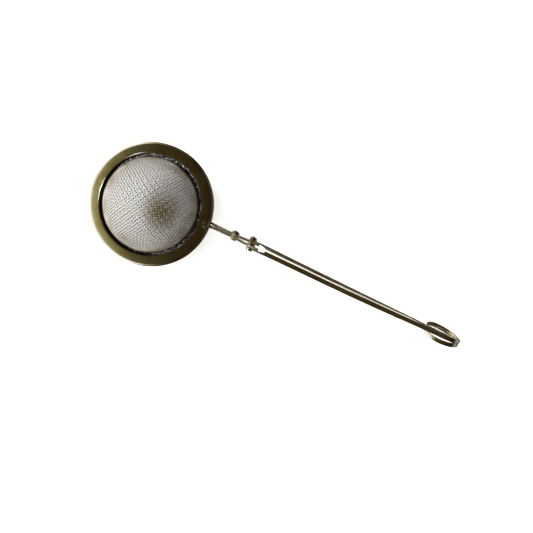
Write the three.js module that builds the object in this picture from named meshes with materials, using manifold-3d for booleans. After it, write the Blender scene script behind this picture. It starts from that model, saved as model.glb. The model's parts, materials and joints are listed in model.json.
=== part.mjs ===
// Tea strainer: a mesh ball in two halves on a sprung squeeze handle.
// Squeezing the two handle arms together swings the halves of the ball apart; the coil at the
// tail of the handle closes them again. Millimetres, +Z up, +X towards the tail of the handle.
//
// Everything is first built in a straight frame: the ball's centre plane is Z = 0, the handle
// runs along +X in the plane Y = 0, and every hinge lies along Y. The upper half is built once,
// and the lower half is the same piece turned half round about X. At the end the whole
// tool is tipped so that it lies as it does on a table, on the lower dome and the coil.

import * as THREE from 'three';
import { mergeVertices } from 'three/addons/utils/BufferGeometryUtils.js';
import Module from 'manifold-3d';

const wasm = await Module();
wasm.setup();

// ---------------------------------------------------------------- driving dimensions

const rim = {
  radius: 25, // outside of the upright wall
  sheet: 0.5,
  halfGap: 0.15, // each rim stops this far from the centre plane
  wallTop: 2.4, // where the wall starts to bend in
  bendRadius: 1.2, // outside of the bend
  ledgeSlope: 27, // degrees up from level, towards the dome
  lipRadius: 20.3,
};
const dome = { radius: 19.5, centreHeight: 2.5, cloth: 0.5, skirtRadius: 23.6 };
const retainer = { radius: 24, height: 0.3, lipRadius: 20.8, sheet: 0.5 };
const fit = 0.3; // room between pieces that are clamped together
const ballOffset = -2.75; // the ball sits to one side of the handle's plane

const lever = {
  inner: -0.1, // Y of the face next to the other lever
  plate: 0.95,
  bossRadius: 2.1,
  barHalfWidth: 1.3,
  eyeRadius: 1.65,
  tip: new THREE.Vector2(1.8, 0.3), // centre of the rounded tip, from the rear eye
};
const pivot = new THREE.Vector2(35.5, 0); // X and Z of the rivet that joins the levers
const rearEye = new THREE.Vector2(43, 7.5); // X and Z of the upper rear rivet
const foot = { radius: 1.6, thickness: 0.6, ledgeRadius: 23 };

const arm = {
  start: new THREE.Vector3(49, -0.75, 8.1), // middle of the channel's web, at its front
  width: 1.9,
  strip: 0.5,
  flange: 1.5, // height of the channel over the web's outside
  flangeEnd: 114, // X where the channel has flattened to a plain strip
  tab: 0.45, // thickness of the tab that takes the rivet
  tabRadius: 1.7,
  tabHalfHeight: 0.7,
};
const coil = {
  centre: 128.4,
  radius: 7.45, // to the middle of the strip
  turns: 1.5,
  pitch: 2.15,
  skew: 13, // degrees: the coil leans so that both arms meet it in the handle's plane
  yaw: 7,
  stepsPerTurn: 36,
};

const shank = 0.75; // radius of every hinge rivet
const eyeHole = 0.88;
const looseHole = 1.35; // the lower lever's hole at the pivot has room for the linkage to settle
const rivetHead = { radius: 1.7, height: 1.15 };
const rivetTail = { radius: 1.35, height: 0.65 };
const stemRivet = { shank: 0.55, hole: 0.7, head: 1.05, height: 0.45 };
const washerGap = 0.1; // under a rivet's head or tail

const ringSteps = 48;
const capSteps = 8; // rings of facets from the dome's skirt to its pole
const rivetSteps = 16;

const steel = {
  rim: { color: 0x8a8145, roughness: 0.28 },
  mesh: { color: 0xb8b4ac, roughness: 0.35 },
  lever: { color: 0x6b6236, roughness: 0.3 },
  rivet: { color: 0x5a5648, roughness: 0.22 },
  arm: { color: 0x5c4b14, roughness: 0.3 },
  coil: { color: 0xc8c8cc, roughness: 0.25 },
};

// ---------------------------------------------------------------- helpers

const radians = THREE.MathUtils.degToRad;

function toSolid(geometry) {
  const bare = geometry.clone();
  bare.deleteAttribute('normal');
  bare.deleteAttribute('uv');
  const merged = mergeVertices(bare, 1e-4);
  return new wasm.Manifold(
    new wasm.Mesh({
      numProp: 3,
      vertProperties: merged.attributes.position.array,
      triVerts: new Uint32Array(merged.index.array),
    }),
  );
}

function toGeometry(solid) {
  const mesh = solid.getMesh();
  const geometry = new THREE.BufferGeometry();
  geometry.setAttribute('position', new THREE.BufferAttribute(mesh.vertProperties, 3));
  geometry.setIndex(new THREE.BufferAttribute(mesh.triVerts, 1));
  return geometry;
}

function join(first, ...others) {
  return toGeometry(others.reduce((sum, next) => sum.add(toSolid(next)), toSolid(first)));
}

function cut(body, ...tools) {
  return toGeometry(tools.reduce((rest, tool) => rest.subtract(toSolid(tool)), toSolid(body)));
}

// A ring or cap turned about Z, from a profile of [radius, height] pairs.
function turned(profile, steps) {
  const points = profile.map(([radius, height]) => new THREE.Vector2(radius, height));
  return new THREE.LatheGeometry(points, steps).rotateX(Math.PI / 2);
}

// A flat plate standing in the XZ plane, from its face at yHigh down to yHigh - thickness.
function plate(shape, yHigh, thickness) {
  const settings = { depth: thickness, bevelEnabled: false, curveSegments: 10 };
  return new THREE.ExtrudeGeometry(shape, settings).rotateX(Math.PI / 2).translate(0, yHigh, 0);
}

// A straight bar with round ends, from one centre to another.
function roundBar(from, to, radius) {
  const lean = Math.atan2(to.y - from.y, to.x - from.x);
  const shape = new THREE.Shape();
  shape.absarc(to.x, to.y, radius, lean - Math.PI / 2, lean + Math.PI / 2);
  shape.absarc(from.x, from.y, radius, lean + Math.PI / 2, lean + (3 * Math.PI) / 2);
  shape.closePath();
  return shape;
}

function disc(centre, radius) {
  return new THREE.Shape().absarc(centre.x, centre.y, radius, 0, 2 * Math.PI);
}

// A round tool along Y that drills the plates between yLow and yHigh.
function drill(centre, radius, yLow, yHigh) {
  return new THREE.CylinderGeometry(radius, radius, yHigh - yLow, rivetSteps)
    .translate(centre.x, (yLow + yHigh) / 2, centre.y);
}

function metal(finish) {
  return new THREE.MeshStandardMaterial({ ...finish, metalness: 1 });
}

function piece(name, geometry, finish) {
  const mesh = new THREE.Mesh(geometry, metal(finish));
  mesh.name = name;
  return mesh;
}

// ---------------------------------------------------------------- ball halves

const slope = Math.tan(radians(rim.ledgeSlope));
const sideways = 1 / Math.cos(radians(rim.ledgeSlope)); // height of a sloping layer per mm of thickness
const bendCentre = new THREE.Vector2(rim.radius - rim.bendRadius, rim.wallTop);
const bendTurn = radians(90 - rim.ledgeSlope);

// Height of the ledge's top face at a radius, less a depth measured square to the face.
function ledgeHeight(radius, depth = 0) {
  const edge = bendCentre.x + rim.bendRadius * Math.cos(bendTurn);
  const height = bendCentre.y + rim.bendRadius * Math.sin(bendTurn);
  return height + (edge - radius) * slope - depth * sideways;
}

function bend(radius, from, to) {
  const steps = 3;
  return Array.from({ length: steps + 1 }, (_, i) => {
    const turn = from + ((to - from) * i) / steps;
    return [bendCentre.x + radius * Math.cos(turn), bendCentre.y + radius * Math.sin(turn)];
  });
}

function rimGeometry() {
  const inside = rim.radius - rim.sheet;
  const profile = [
    [rim.radius, rim.halfGap],
    ...bend(rim.bendRadius, 0, bendTurn),
    [rim.lipRadius, ledgeHeight(rim.lipRadius)],
    [rim.lipRadius, ledgeHeight(rim.lipRadius, rim.sheet)],
    ...bend(rim.bendRadius - rim.sheet, bendTurn, 0),
    [inside, rim.halfGap],
    [rim.radius, rim.halfGap],
  ];
  return turned(profile, ringSteps);
}

// The wire cloth as a plain shell: a cap, and a skirt that runs out under the ledge.
function domeGeometry() {
  const skirtTop = (radius) => ledgeHeight(radius, rim.sheet + fit);
  const skirtBottom = (radius) => ledgeHeight(radius, rim.sheet + fit + dome.cloth);
  const shoulder = (radius, skirt) => {
    const rise = skirt(radius - 0.4) - dome.centreHeight;
    return Math.asin(rise / radius);
  };
  const cap = (radius, from) => Array.from({ length: capSteps + 1 }, (_, i) => {
    const turn = from + ((Math.PI / 2 - from) * i) / capSteps;
    const out = i === capSteps ? 0 : radius * Math.cos(turn);
    return [out, dome.centreHeight + radius * Math.sin(turn)];
  });
  const inner = dome.radius - dome.cloth;
  const profile = [
    ...cap(inner, shoulder(inner, skirtBottom)).reverse(),
    [dome.skirtRadius, skirtBottom(dome.skirtRadius)],
    [dome.skirtRadius, skirtTop(dome.skirtRadius)],
    ...cap(dome.radius, shoulder(dome.radius, skirtTop)),
  ];
  return turned(profile, ringSteps);
}

// The ring inside that holds the skirt of the cloth up against the ledge.
function retainerGeometry() {
  const depth = rim.sheet + fit + dome.cloth + fit;
  const inside = retainer.radius - retainer.sheet;
  const profile = [
    [retainer.radius, retainer.height],
    [retainer.radius, ledgeHeight(retainer.radius, depth)],
    [retainer.lipRadius, ledgeHeight(retainer.lipRadius, depth)],
    [retainer.lipRadius, ledgeHeight(retainer.lipRadius, depth + retainer.sheet)],
    [inside, ledgeHeight(inside, depth + retainer.sheet)],
    [inside, retainer.height],
    [retainer.radius, retainer.height],
  ];
  return turned(profile, ringSteps);
}

// ---------------------------------------------------------------- levers

// Turns what is built on Z so that it stands square on the ledge, over the stem.
const stemLine = lever.inner - lever.plate / 2;
const onLedge = new THREE.Matrix4()
  .makeTranslation(foot.ledgeRadius, stemLine, ledgeHeight(foot.ledgeRadius))
  .multiply(new THREE.Matrix4().makeRotationY(radians(rim.ledgeSlope)));

function upright(radius, from, to) {
  return new THREE.CylinderGeometry(radius, radius, to - from, rivetSteps)
    .rotateX(Math.PI / 2)
    .translate(0, 0, (from + to) / 2);
}

// The stem stands off the wall of the rim and hooks over the ledge to its round foot.
function stemShape() {
  const off = rim.radius + fit + 0.05;
  const hook = foot.ledgeRadius + stemRivet.head + 0.25;
  const shape = new THREE.Shape();
  shape.moveTo(off, 0.5);
  shape.lineTo(off, rim.wallTop);
  shape.lineTo(off - 0.55, rim.wallTop + 1.2);
  shape.lineTo(hook, ledgeHeight(hook) + 0.45);
  shape.lineTo(hook, ledgeHeight(hook) + 1);
  shape.lineTo(off - 0.2, rim.wallTop + 2);
  shape.quadraticCurveTo(off + 1.3, rim.wallTop + 1.2, off + 2.4, 1.3);
  shape.lineTo(pivot.x, 1.25);
  shape.lineTo(pivot.x, -1.25);
  shape.lineTo(off + 2.2, -1.25);
  shape.closePath();
  return shape;
}

function leverGeometry(pivotHole) {
  const { inner, plate: thickness, barHalfWidth, eyeRadius, tip } = lever;
  const tipCentre = rearEye.clone().add(tip);
  const body = join(
    plate(stemShape(), inner, thickness),
    plate(disc(pivot, lever.bossRadius), inner, thickness),
    plate(roundBar(pivot, rearEye, barHalfWidth), inner, thickness),
    plate(roundBar(rearEye, tipCentre, eyeRadius), inner, thickness),
    upright(foot.radius, fit, fit + foot.thickness).applyMatrix4(onLedge),
  );
  return cut(
    body,
    drill(pivot, pivotHole, inner - 2, inner + 1),
    drill(rearEye, eyeHole, inner - 2, inner + 1),
    upright(stemRivet.hole, -1, 3).applyMatrix4(onLedge),
  );
}

// ---------------------------------------------------------------- handle

function armGeometry() {
  const { start, width, strip, flange, flangeEnd, tab, tabRadius, tabHalfHeight } = arm;
  const half = width / 2;
  const top = strip / 2;
  const channel = new THREE.Shape();
  channel.moveTo(-half, top - flange);
  channel.lineTo(-half + strip, top - flange);
  channel.lineTo(-half + strip, -top);
  channel.lineTo(half - strip, -top);
  channel.lineTo(half - strip, top - flange);
  channel.lineTo(half, top - flange);
  channel.lineTo(half, top);
  channel.lineTo(-half, top);
  channel.closePath();
  const flat = new THREE.Shape();
  flat.moveTo(-half, -top);
  flat.lineTo(half, -top);
  flat.lineTo(half, top);
  flat.lineTo(-half, top);
  flat.closePath();

  // The channel runs straight from its front to the point where the coil begins.
  const end = coilPoint(0, 0);
  end.x -= fit / 2;
  const run = end.clone().sub(start);
  const length = run.length();
  const aim = new THREE.Matrix4()
    .makeTranslation(start.x, start.y, start.z)
    .multiply(new THREE.Matrix4().makeRotationZ(Math.atan2(run.y, run.x)))
    .multiply(new THREE.Matrix4().makeRotationY(-Math.asin(run.z / length)));
  const alongX = new THREE.Matrix4().makeBasis(
    new THREE.Vector3(0, 1, 0),
    new THREE.Vector3(0, 0, 1),
    new THREE.Vector3(1, 0, 0),
  );
  const bar = (shape, depth) => new THREE.ExtrudeGeometry(shape, { depth, bevelEnabled: false })
    .applyMatrix4(alongX)
    .applyMatrix4(aim);

  // The tab carries on from the flange on the outer side, round the rivet.
  const tabFace = start.y - half;
  const tongue = new THREE.Shape();
  tongue.moveTo(rearEye.x, rearEye.y - tabHalfHeight);
  tongue.lineTo(start.x + 2, start.z + top - flange);
  tongue.lineTo(start.x + 2, start.z);
  tongue.lineTo(rearEye.x, rearEye.y + tabHalfHeight);
  tongue.closePath();
  const body = join(
    bar(channel, flangeEnd - start.x),
    bar(flat, length),
    plate(tongue, tabFace + tab, tab),
    plate(disc(rearEye, tabRadius), tabFace + tab, tab),
  );
  return cut(body, drill(rearEye, eyeHole, tabFace - 1, tabFace + 1));
}

// A point on the middle of the coil's strip, from the coil's own centre: turn runs from 0 at
// the upper arm, over the tail and round, to the number of turns at the lower arm.
function coilPoint(turn, across, outward = 0) {
  const angle = turn * 2 * Math.PI;
  const radius = coil.radius + outward;
  const point = new THREE.Vector3(
    radius * Math.sin(angle),
    coil.pitch * (coil.turns / 2 - turn) + across,
    radius * Math.cos(angle),
  );
  const lean = new THREE.Euler(radians(coil.skew), 0, radians(-coil.yaw), 'ZYX');
  return point.applyEuler(lean).add(new THREE.Vector3(coil.centre, 0, 0));
}

function coilGeometry() {
  const steps = Math.round(coil.turns * coil.stepsPerTurn);
  const geometry = new THREE.BoxGeometry(1, arm.width, arm.strip, steps, 1, 1);
  const place = geometry.attributes.position;
  const margin = fit / 2 / (2 * Math.PI * coil.radius); // leaves the same room at both ends
  for (let i = 0; i < place.count; i += 1) {
    const turn = margin + (place.getX(i) + 0.5) * (coil.turns - 2 * margin);
    const point = coilPoint(turn, place.getY(i), place.getZ(i));
    place.setXYZ(i, point.x - coil.centre, point.y, point.z);
  }
  return geometry;
}

// ---------------------------------------------------------------- rivets

// A rivet along +Y with a domed head, from the underside of its tail to the underside of its head.
function rivetGeometry(tailY, headY) {
  const { radius, height } = rivetHead;
  const crown = Array.from({ length: 4 }, (_, i) => {
    const turn = ((i + 1) / 4) * (Math.PI / 2);
    const out = i === 3 ? 0 : radius * Math.cos(turn);
    return [out, headY + height * (0.25 + 0.75 * Math.sin(turn))];
  });
  const profile = [
    [0, tailY - rivetTail.height],
    [rivetTail.radius * 0.7, tailY - rivetTail.height],
    [rivetTail.radius, tailY - rivetTail.height * 0.4],
    [rivetTail.radius, tailY],
    [shank, tailY],
    [shank, headY],
    [radius, headY],
    [radius, headY + height * 0.25],
    ...crown,
  ];
  return new THREE.LatheGeometry(profile.map(([r, y]) => new THREE.Vector2(r, y)), rivetSteps);
}

function stemRivetGeometry() {
  const seat = fit + foot.thickness + washerGap;
  return turned([
    [0, 0.1],
    [stemRivet.shank, 0.1],
    [stemRivet.shank, seat],
    [stemRivet.head, seat],
    [stemRivet.head * 0.8, seat + stemRivet.height * 0.7],
    [0, seat + stemRivet.height],
  ], rivetSteps);
}

// ---------------------------------------------------------------- assembly

const leverFace = { near: lever.inner, far: lever.inner - lever.plate };
const tabOutside = arm.start.y - arm.width / 2;

function ballHalf(side, offset) {
  const half = new THREE.Group();
  const shell = [
    piece(`${side}_rim_ring`, rimGeometry(), steel.rim),
    piece(`${side}_mesh_dome`, domeGeometry(), steel.mesh),
    piece(`${side}_mesh_retainer_ring`, retainerGeometry(), steel.rim),
  ];
  for (const mesh of shell) mesh.position.y = offset;
  const pivotHole = side === 'upper' ? eyeHole : looseHole;
  const stemLever = piece(`${side}_stem_lever`, leverGeometry(pivotHole), steel.lever);
  const weld = piece(`${side}_stem_rivet`, stemRivetGeometry(), steel.rivet);
  weld.applyMatrix4(onLedge);
  const handleArm = piece(`${side}_handle_arm`, armGeometry(), steel.arm);
  half.add(...shell, stemLever, weld, handleArm);
  return half;
}

const upper = ballHalf('upper', ballOffset);
const lower = ballHalf('lower', -ballOffset);
lower.rotation.x = Math.PI;

// All three hinge rivets have their heads on the same side, +Y.
const pivotRivet = piece(
  'pivot_rivet',
  rivetGeometry(leverFace.far - washerGap, -leverFace.far + washerGap),
  steel.rivet,
);
pivotRivet.position.set(pivot.x, 0, pivot.y);
const upperArmRivet = piece(
  'upper_arm_rivet',
  rivetGeometry(tabOutside - washerGap, leverFace.near + washerGap),
  steel.rivet,
);
upperArmRivet.position.set(rearEye.x, 0, rearEye.y);
const lowerArmRivet = piece(
  'lower_arm_rivet',
  rivetGeometry(-leverFace.near - washerGap, -tabOutside + washerGap),
  steel.rivet,
);
lowerArmRivet.position.set(rearEye.x, 0, -rearEye.y);

const handleCoil = piece('handle_coil', coilGeometry(), steel.coil);
handleCoil.position.x = coil.centre;

const tool = new THREE.Group();
tool.add(upper, lower, pivotRivet, upperArmRivet, lowerArmRivet, handleCoil);

// The slope at which the lower dome and the lowest edge of the coil touch one level surface.
const coilDrop = (coil.radius + arm.strip / 2) * Math.cos(radians(coil.skew))
  + ((coil.turns / 2) * coil.pitch + arm.width / 2) * Math.sin(radians(coil.skew));
const reach = Math.hypot(coil.centre, dome.centreHeight);
tool.rotation.y = Math.asin((dome.radius - coilDrop) / reach)
  + Math.atan2(dome.centreHeight, coil.centre);

const part = new THREE.Group();
part.add(tool);
part.updateMatrixWorld(true);
const box = new THREE.Box3().setFromObject(part, true);
const middle = box.getCenter(new THREE.Vector3());
tool.position.set(-middle.x, -middle.y, -box.min.z);
part.updateMatrixWorld(true);

export default part;
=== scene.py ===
import json
import math

import bmesh
import bpy
import numpy as np
from mathutils import Matrix, Vector


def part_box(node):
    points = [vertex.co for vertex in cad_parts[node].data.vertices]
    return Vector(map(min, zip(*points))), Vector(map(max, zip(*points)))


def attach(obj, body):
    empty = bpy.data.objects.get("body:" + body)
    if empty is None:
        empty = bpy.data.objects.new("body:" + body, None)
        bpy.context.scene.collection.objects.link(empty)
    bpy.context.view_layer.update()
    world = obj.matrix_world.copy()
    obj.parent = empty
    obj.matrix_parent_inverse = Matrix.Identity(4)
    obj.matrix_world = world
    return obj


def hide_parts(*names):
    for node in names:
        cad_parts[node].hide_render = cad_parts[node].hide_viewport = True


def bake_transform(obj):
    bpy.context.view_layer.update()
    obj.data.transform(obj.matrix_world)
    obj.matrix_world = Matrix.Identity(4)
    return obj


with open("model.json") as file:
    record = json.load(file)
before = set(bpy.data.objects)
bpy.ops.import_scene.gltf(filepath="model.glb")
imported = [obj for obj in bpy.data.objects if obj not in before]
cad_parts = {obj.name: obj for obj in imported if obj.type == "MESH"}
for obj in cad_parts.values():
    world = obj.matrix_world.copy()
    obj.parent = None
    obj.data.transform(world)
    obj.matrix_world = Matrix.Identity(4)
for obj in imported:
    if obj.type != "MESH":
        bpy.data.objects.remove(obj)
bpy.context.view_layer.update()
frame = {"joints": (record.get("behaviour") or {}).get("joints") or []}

print("frame loaded")

mm = 0.001


# The tool's own straight frame, worked out from the hinges and the rims: X runs down the middle of
# the handle, Y along the rivets, Z is the ball's axis, and the origin is level with the ball.
def middleOf(*nodeNames):
    corners = [Vector(corner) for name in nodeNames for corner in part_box(name)]
    low = Vector([min(corner[i] for corner in corners) for i in range(3)])
    high = Vector([max(corner[i] for corner in corners) for i in range(3)])
    return (low + high) / 2


hinges = {joint["name"]: Vector(joint["pos_m"]) for joint in frame["joints"]}
ballMiddle = middleOf("upper_rim_ring", "lower_rim_ring")
toolUp = (hinges["upper_half_open"] - hinges["lower_half_open"]).normalized()
toolSide = Vector((0, 1, 0))
toolAlong = toolSide.cross(toolUp)
toolFrame = Matrix((toolAlong, toolSide, toolUp)).transposed().to_4x4()
toolFrame.translation = (ballMiddle.x, hinges["handle_squeeze"].y, ballMiddle.z)


def inTool(point):
    return (toolFrame.inverted() @ Vector(point)) / mm


rearEye = inTool(hinges["upper_half_open"])
coilMiddle = inTool(hinges["handle_squeeze"])
pivotX = inTool(middleOf("pivot_rivet")).x
ballSide = Matrix.Translation((0, inTool(ballMiddle).y * mm, 0))
halfTurn = Matrix.Rotation(math.pi, 4, "X")
halves = {
    "upper": {"ball": toolFrame @ ballSide, "lever": toolFrame, "body": "upper_half"},
    "lower": {
        "ball": toolFrame @ ballSide @ halfTurn,
        "lever": toolFrame @ halfTurn,
        "body": "lower_half",
    },
}


camera = {
    "distance": 450,  # mm from the middle of the picture
    "lens": 76.3,
    "leanBack": 3.46,  # degrees that it leans towards +Y from straight overhead
    "leanTail": 4.3,  # and towards the tail of the handle
    "turn": 25.66,
    "target": (-2.665, -2.375, 21.94),
}


def addCamera(settings):
    back, tail, turn = (math.radians(settings[key]) for key in ("leanBack", "leanTail", "turn"))
    away = Vector((math.sin(tail) * math.cos(back), math.sin(back), math.cos(back) * math.cos(tail)))
    right = Vector((-math.sin(turn), math.cos(turn), 0)).cross(away).normalized()
    place = Matrix((right, away.cross(right), away)).transposed().to_4x4()
    place.translation = (Vector(settings["target"]) + away * settings["distance"]) * mm
    data = bpy.data.cameras.new("overhead_camera")
    data.lens = settings["lens"]
    data.sensor_width = 36
    data.clip_start = 0.01
    data.clip_end = 50
    taker = bpy.data.objects.new("overhead_camera", data)
    taker.matrix_world = place
    bpy.context.scene.collection.objects.link(taker)
    bpy.context.scene.camera = taker
    return right


pictureRight = addCamera(camera)
print("camera placed")


# Shapes are drawn in mm and stored in metres.
def linear(hexColour):
    channels = [int(hexColour[i:i + 2], 16) / 255 for i in (1, 3, 5)]
    return [c / 12.92 if c <= 0.04045 else ((c + 0.055) / 1.055) ** 2.4 for c in channels] + [1]


def addPiece(name, points, faces, place, sharp=35, uv=None, marks=None):
    mesh = bpy.data.meshes.new(name)
    mesh.from_pydata([tuple(point) for point in np.asarray(points, float) * mm], [], faces)
    if uv is not None:
        layer = mesh.uv_layers.new(name="strip")
        corners = np.array([loop.vertex_index for loop in mesh.loops])
        layer.data.foreach_set("uv", np.asarray(uv, float)[corners].ravel())
    for mark, values in (marks or {}).items():
        layer = mesh.attributes.new(mark, "FLOAT", "POINT")
        layer.data.foreach_set("value", values.astype(np.float32))
    return dress(name, mesh, place, sharp)


def dress(name, mesh, place, sharp):
    work = bmesh.new()
    work.from_mesh(mesh)
    bmesh.ops.remove_doubles(work, verts=work.verts, dist=1e-7)
    bmesh.ops.recalc_face_normals(work, faces=work.faces)
    work.to_mesh(mesh)
    work.free()
    mesh.polygons.foreach_set("use_smooth", [True] * len(mesh.polygons))
    mesh.set_sharp_from_angle(angle=math.radians(sharp))
    piece = bpy.data.objects.new(name, mesh)
    piece.matrix_world = place
    bpy.context.scene.collection.objects.link(piece)
    return piece


# Eases from 0 to 1.
def smooth(value):
    value = min(max(value, 0.0), 1.0)
    return value * value * (3 - 2 * value)


def arc(centre, radius, start, end, steps):
    turns = np.radians(np.linspace(start, end, steps + 1))
    return [(centre[0] + radius * math.cos(t), centre[1] + radius * math.sin(t)) for t in turns]


# Points on a Bezier curve, without its first.
def bezier(controls, steps):
    line = []
    for t in np.linspace(0, 1, steps + 1)[1:]:
        level = np.array(controls, float)
        while len(level) > 1:
            level = (1 - t) * level[:-1] + t * level[1:]
        line.append(tuple(level[0]))
    return line


# Quads round a tube of closed rings, whose points follow one another from offset.
def tubeFaces(rings, sides, offset=0):
    faces = []
    for i in range(rings - 1):
        near, far = offset + i * sides, offset + (i + 1) * sides
        for j in range(sides):
            k = (j + 1) % sides
            faces.append((near + j, near + k, far + k, far + j))
    return faces


# The closed outline of a bent sheet, round at both edges, from the line along its middle.
def sheetOutline(middle, thickness, edgeSteps=4):
    line = np.array(middle, float)
    ahead = np.gradient(line, axis=0)
    ahead /= np.linalg.norm(ahead, axis=1)[:, None]
    aside = np.stack([-ahead[:, 1], ahead[:, 0]], axis=1)
    half = thickness / 2
    left = line + aside * half
    right = line - aside * half
    end = [line[-1] + half * (aside[-1] * math.cos(t) + ahead[-1] * math.sin(t))
           for t in np.linspace(0, math.pi, edgeSteps + 2)[1:-1]]
    start = [line[0] - half * (aside[0] * math.cos(t) + ahead[0] * math.sin(t))
             for t in np.linspace(0, math.pi, edgeSteps + 2)[1:-1]]
    return [*left, *end, *right[::-1], *start]


# A ring or button turned about Z, from [radius, height] pairs.
def turnedPiece(name, profile, place, steps=192, closed=True, sharp=35):
    profile = np.array(profile, float)
    turns = np.linspace(0, 2 * math.pi, steps, endpoint=False)
    points = np.stack([
        np.outer(np.cos(turns), profile[:, 0]),
        np.outer(np.sin(turns), profile[:, 0]),
        np.outer(np.ones(steps), profile[:, 1]),
    ], axis=2).reshape(-1, 3)
    count = len(profile)
    faces = []
    for i in range(steps):
        near, far = i * count, (i + 1) % steps * count
        for j in range(count if closed else count - 1):
            k = (j + 1) % count
            faces.append((near + j, far + j, far + k, near + k))
    return addPiece(name, points, faces, place, sharp)


# A plate in its own XY plane, 0 to thickness deep, with holes and finely rounded edges.
def plateMesh(name, outlines, thickness, bevel=0.1):
    curve = bpy.data.curves.new(name, "CURVE")
    curve.dimensions = "2D"
    curve.fill_mode = "BOTH"
    curve.extrude = (thickness / 2 - bevel) * mm
    curve.bevel_depth = bevel * mm
    curve.bevel_resolution = 2
    curve.offset = -bevel * mm
    for outline in outlines:
        spline = curve.splines.new("POLY")
        spline.points.add(len(outline) - 1)
        for point, (x, y) in zip(spline.points, outline):
            point.co = (x * mm, y * mm, 0, 1)
        spline.use_cyclic_u = True
    drawn = bpy.data.objects.new(name, curve)
    bpy.context.scene.collection.objects.link(drawn)
    mesh = bpy.data.meshes.new_from_object(drawn.evaluated_get(bpy.context.evaluated_depsgraph_get()))
    mesh.transform(Matrix.Translation((0, 0, thickness / 2 * mm)))
    bpy.data.objects.remove(drawn)
    return mesh


# Stands a plate up in the XZ plane of the tool, with its low face at yLow.
def standing(yLow):
    return Matrix.Translation((0, yLow * mm, 0)) @ Matrix(
        ((1, 0, 0, 0), (0, 0, 1, 0), (0, 1, 0, 0), (0, 0, 0, 1)))


# Welds overlapping closed shapes into one skin.
def fuse(piece, *others):
    for other in others:
        union = piece.modifiers.new("union", "BOOLEAN")
        union.operation = "UNION"
        union.solver = "EXACT"
        union.object = other
        bpy.context.view_layer.update()
        mesh = bpy.data.meshes.new_from_object(piece.evaluated_get(bpy.context.evaluated_depsgraph_get()))
        piece.modifiers.clear()
        piece.data = mesh
        bpy.data.objects.remove(other)
    piece.data.polygons.foreach_set("use_smooth", [True] * len(piece.data.polygons))
    piece.data.set_sharp_from_angle(angle=math.radians(35))
    return piece


def addNode(tree, kind, inputs=None, stops=(), **settings):
    node = tree.nodes.new(kind)
    for name, value in settings.items():
        setattr(node, name, value)
    for name, value in (inputs or {}).items():
        if isinstance(value, bpy.types.NodeSocket):
            tree.links.new(value, node.inputs[name])
        else:
            node.inputs[name].default_value = value
    if stops:
        while len(node.color_ramp.elements) < len(stops):
            node.color_ramp.elements.new(0.5)
        for element, (place, colour) in zip(node.color_ramp.elements, stops):
            element.position = place
            element.color = colour
    return node


black = (0, 0, 0, 1)
white = (1, 1, 1, 1)
toMm = 1000.0


# An empty material, its coordinates, and each point's place in mm.
def newMaterial(name):
    material = bpy.data.materials.new(name)
    material.use_nodes = True
    tree = material.node_tree
    tree.nodes.clear()
    coordinates = addNode(tree, "ShaderNodeTexCoord")
    place = addNode(tree, "ShaderNodeVectorMath", {0: coordinates.outputs["Object"], "Scale": toMm},
                    operation="SCALE").outputs[0]
    return material, tree, coordinates, place


# The metal that all of it ends in, with a relief of the given depth in mm.
def finishMetal(tree, colour, metallic, roughness, height, depth):
    relief = addNode(tree, "ShaderNodeBump", {"Strength": 1.0, "Distance": depth * mm, "Height": height})
    shader = addNode(tree, "ShaderNodeBsdfPrincipled", {
        "Base Color": colour,
        "Metallic": metallic,
        "Roughness": roughness,
        "Normal": relief.outputs["Normal"],
    })
    addNode(tree, "ShaderNodeOutputMaterial", {"Surface": shader.outputs["BSDF"]})


# Pressed and polished stainless sheet: the polishing wheel leaves fine rings round the axis, which
# draw each reflection out sideways, and the film that tea leaves turns the steel a warm olive.
rimFinish = {
    "clean": "#cfcbc0",
    "film": "#b7ae96",
    # a guess: tea that drains over the wall next to the handle browns it
    "wall": "#4a3a20",  # painted shade: the wall is drawn dark brown low down next to the handle, standing in for the shadowed ground it mirrors there
    "wallShadeBand": (1.1, 0.3),  # mm above the seam where that painted shade starts and is full
    "wallClimb": 2.8,  # and how much higher it stands next to the handle
    "climbFrom": -8.0,  # mm from the ball's axis, towards the handle
    "climbFull": 8.0,
    "metallic": 1.0,
    "roughness": (0.13, 0.2),
    "ringSpacing": 0.22,  # real polishing lines are near 0.05 mm: drawn coarser so that they show
    "ringStretch": 40.0,
    "ringDepth": 0.0012,
    "filmSize": 9.0,
    "smudgeSize": 2.5,
}


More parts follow.
